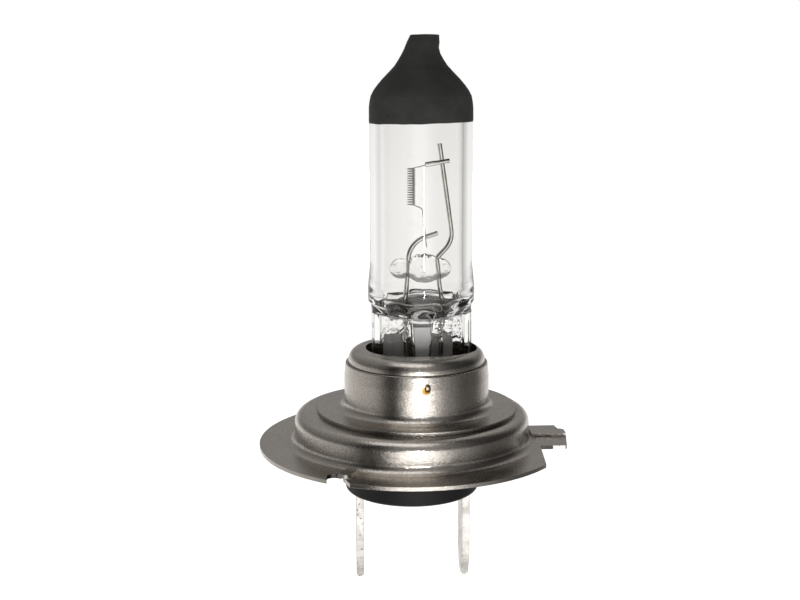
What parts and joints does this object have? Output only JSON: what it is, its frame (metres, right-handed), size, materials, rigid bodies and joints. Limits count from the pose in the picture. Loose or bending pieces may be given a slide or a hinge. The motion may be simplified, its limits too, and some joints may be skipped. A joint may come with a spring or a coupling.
{
  "type": "headlight bulb",
  "caption": "Halogen headlight bulb: clear quartz tube with a black tip, axial coil filament, satin prefocus flange and collar, and flat contact blades.",
  "frame": {"origin": "where the reference axis, through the centre of the raised ring, meets the reference plane, which touches the flange's two bosses and the raised half of its lug", "axes": "+Z along the bulb towards the glass tip, +X towards the keying lug"},
  "size_m": [0.0335, 0.033, 0.0589],
  "materials": {
    "nickel_steel": "stamped and nickel plated, satin with a fine grain",
    "spring_steel": "plain spring steel strip, dull",
    "black_insulator": "moulded heat-proof plastic, near black, slightly glossy",
    "tinned_blade": "bright tin plate, finely pitted",
    "quartz_glass": "clear polished quartz, wrinkled where it is pressed",
    "quartz_bead": "clear fire-polished quartz rod",
    "tip_coating": "matt charcoal heat-proof coating",
    "tungsten": "drawn tungsten, dark grey",
    "molybdenum_wire": "polished drawn wire",
    "seal_foil": "thin rolled foil, satin grey"
  },
  "bodies": {
    "root": {"base_shell": "nickel_steel", "adjusting_collar": "nickel_steel", "inner_sleeve": "nickel_steel", "pinch_clip": "spring_steel", "insulator_plug": "black_insulator", "blade_left": "tinned_blade", "blade_right": "tinned_blade", "glass_envelope": "quartz_glass", "glass_bridge": "quartz_bead", "black_tip_coating": "tip_coating", "filament": "tungsten", "upper_cross_wire": "molybdenum_wire", "long_lead_wire": "molybdenum_wire", "short_lead_wire": "molybdenum_wire", "foil_left": "seal_foil", "foil_right": "seal_foil", "outer_lead_left": "molybdenum_wire", "outer_lead_right": "molybdenum_wire"}
  },
  "joints": []
}
